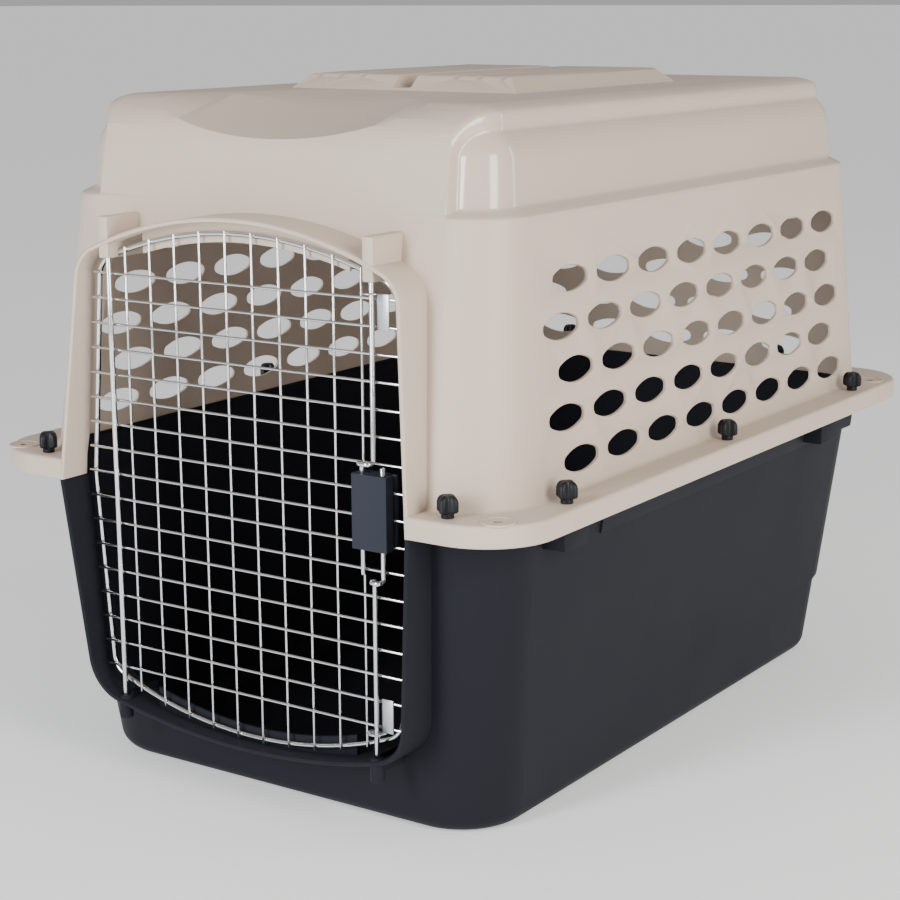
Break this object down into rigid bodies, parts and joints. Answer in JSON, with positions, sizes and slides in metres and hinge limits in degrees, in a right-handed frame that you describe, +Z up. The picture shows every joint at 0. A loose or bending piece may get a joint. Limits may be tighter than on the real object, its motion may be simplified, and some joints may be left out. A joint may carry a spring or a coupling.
{
  "type": "pet transport carrier",
  "caption": "Rigid box carrier for a dog: vented upper and solid lower plastic shells clamped at a flange, with a hinged wire door and a squeeze latch.",
  "frame": {"origin": "middle of the floor footprint, on the ground", "axes": "+Z up, the door faces -Y, +X to the right of someone facing +Y; the door hinge is at -X"},
  "size_m": [0.648, 0.914, 0.7055],
  "materials": {
    "upper_plastic": "fine moulded texture, satin",
    "lower_plastic": "fine moulded texture, satin",
    "plated_wire": "bright zinc plating",
    "plated_sheet": "dull zinc plating",
    "latch_plastic": "fine moulded texture",
    "nut_plastic": "semi-matt",
    "bolt_steel": "zinc plated"
  },
  "bodies": {
    "shell": {"upper_shell": "upper_plastic", "lower_shell": "lower_plastic", "shell_bolts": "bolt_steel"},
    "door": {"door_frame_rod": "plated_wire", "door_upright_wires": "plated_wire", "door_level_wires": "plated_wire", "hinge_rod": "plated_wire", "upper_rod_guide": "plated_sheet", "lower_rod_guide": "plated_sheet", "latch_cover": "latch_plastic", "latch_backer": "latch_plastic", "latch_screws": "plated_sheet", "upper_latch_spring": "plated_sheet", "lower_latch_spring": "plated_sheet"},
    "upper_latch": {"upper_latch_rod": "plated_wire", "upper_spring_clip": "plated_sheet"},
    "lower_latch": {"lower_latch_rod": "plated_wire", "lower_spring_clip": "plated_sheet"},
    "nut_front_left": {"nut_front_left": "nut_plastic"},
    "nut_front_right": {"nut_front_right": "nut_plastic"},
    "nut_right_front": {"nut_right_front": "nut_plastic"},
    "nut_right_middle": {"nut_right_middle": "nut_plastic"},
    "nut_right_rear": {"nut_right_rear": "nut_plastic"},
    "nut_left_front": {"nut_left_front": "nut_plastic"},
    "nut_left_middle": {"nut_left_middle": "nut_plastic"},
    "nut_left_rear": {"nut_left_rear": "nut_plastic"},
    "nut_rear_left": {"nut_rear_left": "nut_plastic"},
    "nut_rear_right": {"nut_rear_right": "nut_plastic"}
  },
  "joints": [
    {"name": "door_hinge", "type": "hinge", "parent": "shell", "child": "door", "pos_m": [-0.16, -0.43115, 0.32], "axis": [0, 0, -1], "range_deg": [0, 145]},
    {"name": "upper_latch_slide", "type": "slide", "parent": "door", "child": "upper_latch", "axis": [0, 0, 1], "range_m": [-0.005, 0.006], "stiffness_N_per_m": 1200, "deforming": ["upper_latch_spring"]},
    {"name": "lower_latch_slide", "type": "slide", "parent": "door", "child": "lower_latch", "axis": [0, 0, -1], "range_m": [-0.005, 0.006], "stiffness_N_per_m": 1200, "deforming": ["lower_latch_spring"]},
    {"name": "nut_front_left_spin", "type": "hinge", "parent": "shell", "child": "nut_front_left", "pos_m": [-0.246, -0.439, 0.348], "axis": [0, 0, 1], "continuous": true},
    {"name": "nut_front_right_spin", "type": "hinge", "parent": "shell", "child": "nut_front_right", "pos_m": [0.246, -0.439, 0.348], "axis": [0, 0, 1], "continuous": true},
    {"name": "nut_right_front_spin", "type": "hinge", "parent": "shell", "child": "nut_right_front", "pos_m": [0.307, -0.335, 0.348], "axis": [0, 0, 1], "continuous": true},
    {"name": "nut_right_middle_spin", "type": "hinge", "parent": "shell", "child": "nut_right_middle", "pos_m": [0.307, -0.01, 0.348], "axis": [0, 0, 1], "continuous": true},
    {"name": "nut_right_rear_spin", "type": "hinge", "parent": "shell", "child": "nut_right_rear", "pos_m": [0.307, 0.313, 0.348], "axis": [0, 0, 1], "continuous": true},
    {"name": "nut_left_front_spin", "type": "hinge", "parent": "shell", "child": "nut_left_front", "pos_m": [-0.307, -0.335, 0.348], "axis": [0, 0, 1], "continuous": true},
    {"name": "nut_left_middle_spin", "type": "hinge", "parent": "shell", "child": "nut_left_middle", "pos_m": [-0.307, -0.01, 0.348], "axis": [0, 0, 1], "continuous": true},
    {"name": "nut_left_rear_spin", "type": "hinge", "parent": "shell", "child": "nut_left_rear", "pos_m": [-0.307, 0.313, 0.348], "axis": [0, 0, 1], "continuous": true},
    {"name": "nut_rear_left_spin", "type": "hinge", "parent": "shell", "child": "nut_rear_left", "pos_m": [-0.15, 0.439, 0.348], "axis": [0, 0, 1], "continuous": true},
    {"name": "nut_rear_right_spin", "type": "hinge", "parent": "shell", "child": "nut_rear_right", "pos_m": [0.15, 0.439, 0.348], "axis": [0, 0, 1], "continuous": true}
  ]
}
